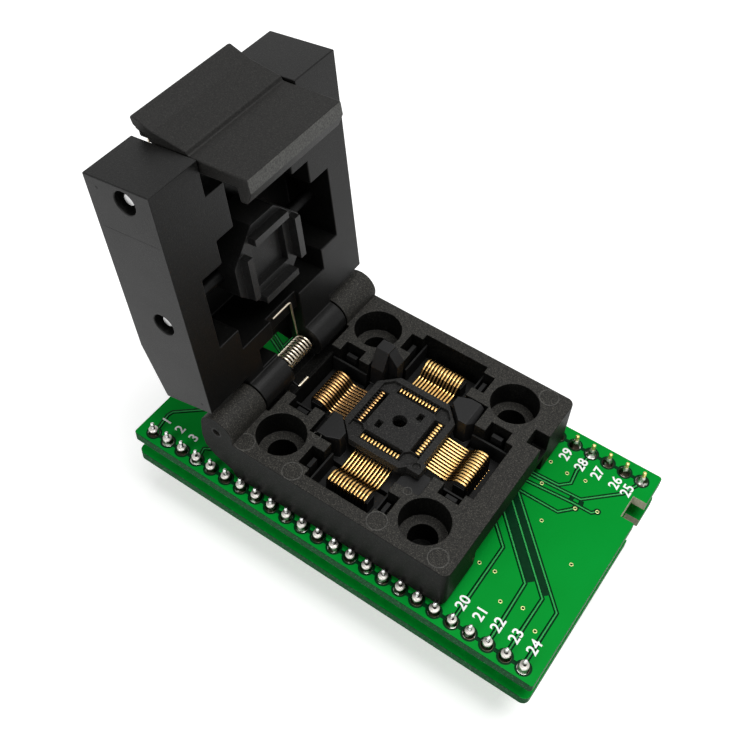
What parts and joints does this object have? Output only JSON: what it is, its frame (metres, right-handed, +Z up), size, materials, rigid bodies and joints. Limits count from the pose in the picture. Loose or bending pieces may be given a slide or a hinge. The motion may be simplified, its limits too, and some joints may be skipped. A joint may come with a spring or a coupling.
{
  "type": "ic programming adapter",
  "caption": "Clamshell test socket with a hinged latching lid on two stacked green boards, ending in a two-row plug of round pins for a chip programmer",
  "frame": {"origin": "centre of the two-row plug, on the plane of its pin tips", "axes": "+X runs along the boards from pin 1 towards the latch side, +Y crosses them away from the near pin row, +Z is up out of the socket"},
  "size_m": [0.0635, 0.0362, 0.062],
  "materials": {
    "board": "smooth green solder mask over fine traces",
    "solder": "bright solder fillets",
    "link_metal": "tinned round wire",
    "plug_metal": "thin gold flash on turned pins",
    "carrier_plastic": "plain moulded black",
    "base_plastic": "glass-filled black, slightly speckled",
    "nest_plastic": "glass-filled black-brown, speckled",
    "guide_plastic": "smooth black",
    "block_plastic": "plain moulded black",
    "contact_metal": "bright gold plating",
    "spring_steel": "bright drawn wire",
    "shaft_steel": "ground steel",
    "lid_plastic": "fine satin black",
    "latch_plastic": "fine satin black",
    "pad_plastic": "smooth black"
  },
  "bodies": {
    "root": {"adapter_board_upper": "board", "adapter_board_lower": "board", "link_pins_near": "link_metal", "link_pins_far": "link_metal", "link_solder_near": "solder", "link_solder_far": "solder", "dip_pins_near": "plug_metal", "dip_pins_far": "plug_metal", "pin_carrier_near": "carrier_plastic", "pin_carrier_far": "carrier_plastic", "socket_base": "base_plastic", "nest_support": "guide_plastic", "nest_plate": "nest_plastic", "hinge_shaft": "shaft_steel", "lid_spring": "spring_steel", "contacts_front": "contact_metal", "contact_block_front": "block_plastic", "contacts_far": "contact_metal", "contact_block_far": "block_plastic", "contacts_hinge": "contact_metal", "contact_block_hinge": "block_plastic", "contacts_near": "contact_metal", "contact_block_near": "block_plastic"},
    "lid": {"lid": "lid_plastic", "latch_pin": "shaft_steel", "pad_pin": "shaft_steel", "latch_springs": "spring_steel"},
    "latch": {"latch_lever": "latch_plastic"},
    "pad": {"pressure_pad": "pad_plastic"}
  },
  "joints": [
    {"name": "lid_hinge", "type": "hinge", "parent": "root", "child": "lid", "pos_m": [-0.0175, 0, 0.02364], "axis": [0, 1, 0], "range_deg": [0, 98.1], "stiffness_Nm_per_rad": 0.004, "springref_deg": -34.38, "deforming": ["lid_spring"]},
    {"name": "latch_pivot", "type": "hinge", "parent": "lid", "child": "latch", "pos_m": [-0.02618, 0, 0.05811], "axis": [0, -1, 0], "range_deg": [0, 10], "stiffness_Nm_per_rad": 0.01, "springref_deg": -11.46, "deforming": ["latch_springs"]},
    {"name": "pad_tilt", "type": "hinge", "parent": "lid", "child": "pad", "pos_m": [-0.0236, 0, 0.04045], "axis": [0, 1, 0], "range_deg": [-2.5, 2.5]}
  ]
}
